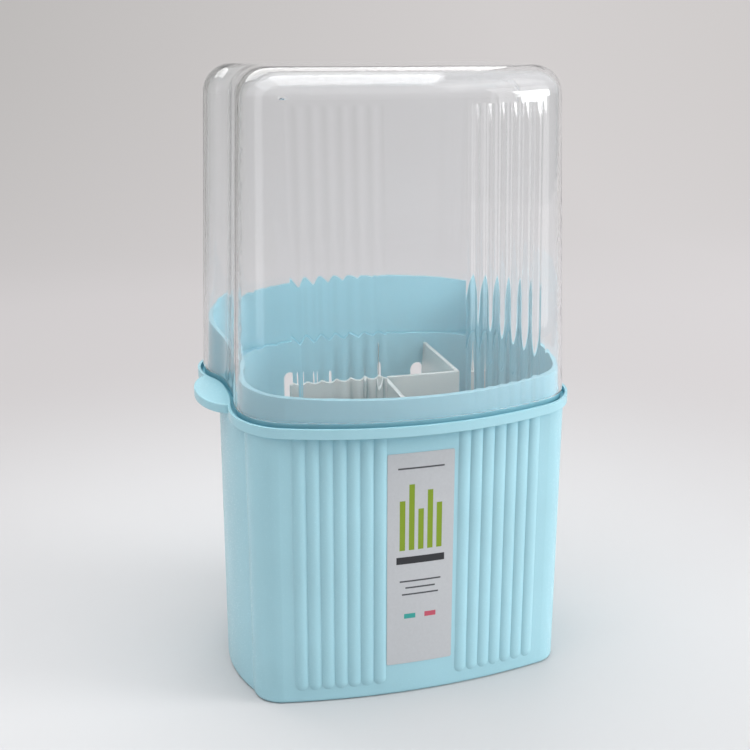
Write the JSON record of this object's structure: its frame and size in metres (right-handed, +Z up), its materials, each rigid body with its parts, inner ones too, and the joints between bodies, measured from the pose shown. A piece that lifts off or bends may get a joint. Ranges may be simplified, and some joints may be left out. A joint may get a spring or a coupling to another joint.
{
  "type": "chopstick holder with lift-off dust lid",
  "caption": "Wall-hung or standing chopstick holder: ribbed bowed box with rim, collar and finger tabs, tall clear dust lid that lifts off, and a loose divider with drip plate.",
  "frame": {"origin": "on the standing surface, under the middle of the rim's outline", "axes": "+X to the holder's right as seen from behind it facing +Y, +Y from the bowed front to the flat back, +Z up"},
  "size_m": [0.1666, 0.115, 0.26],
  "materials": {
    "body_plastic": "satin moulded polypropylene, pale turquoise",
    "clear_plastic": "clear glossy polystyrene",
    "divider_plastic": "off-white moulded polypropylene",
    "label_film": "light grey printed film"
  },
  "bodies": {
    "body": {"body": "body_plastic", "label": "label_film"},
    "lid": {"lid": "clear_plastic"},
    "divider": {"divider": "divider_plastic"}
  },
  "joints": [
    {"name": "lid_lift", "type": "slide", "parent": "body", "child": "lid", "axis": [0, 0, 1], "range_m": [0, 0.15]},
    {"name": "divider_lift", "type": "slide", "parent": "body", "child": "divider", "axis": [0, 0, 1], "range_m": [0, 0.09]}
  ]
}
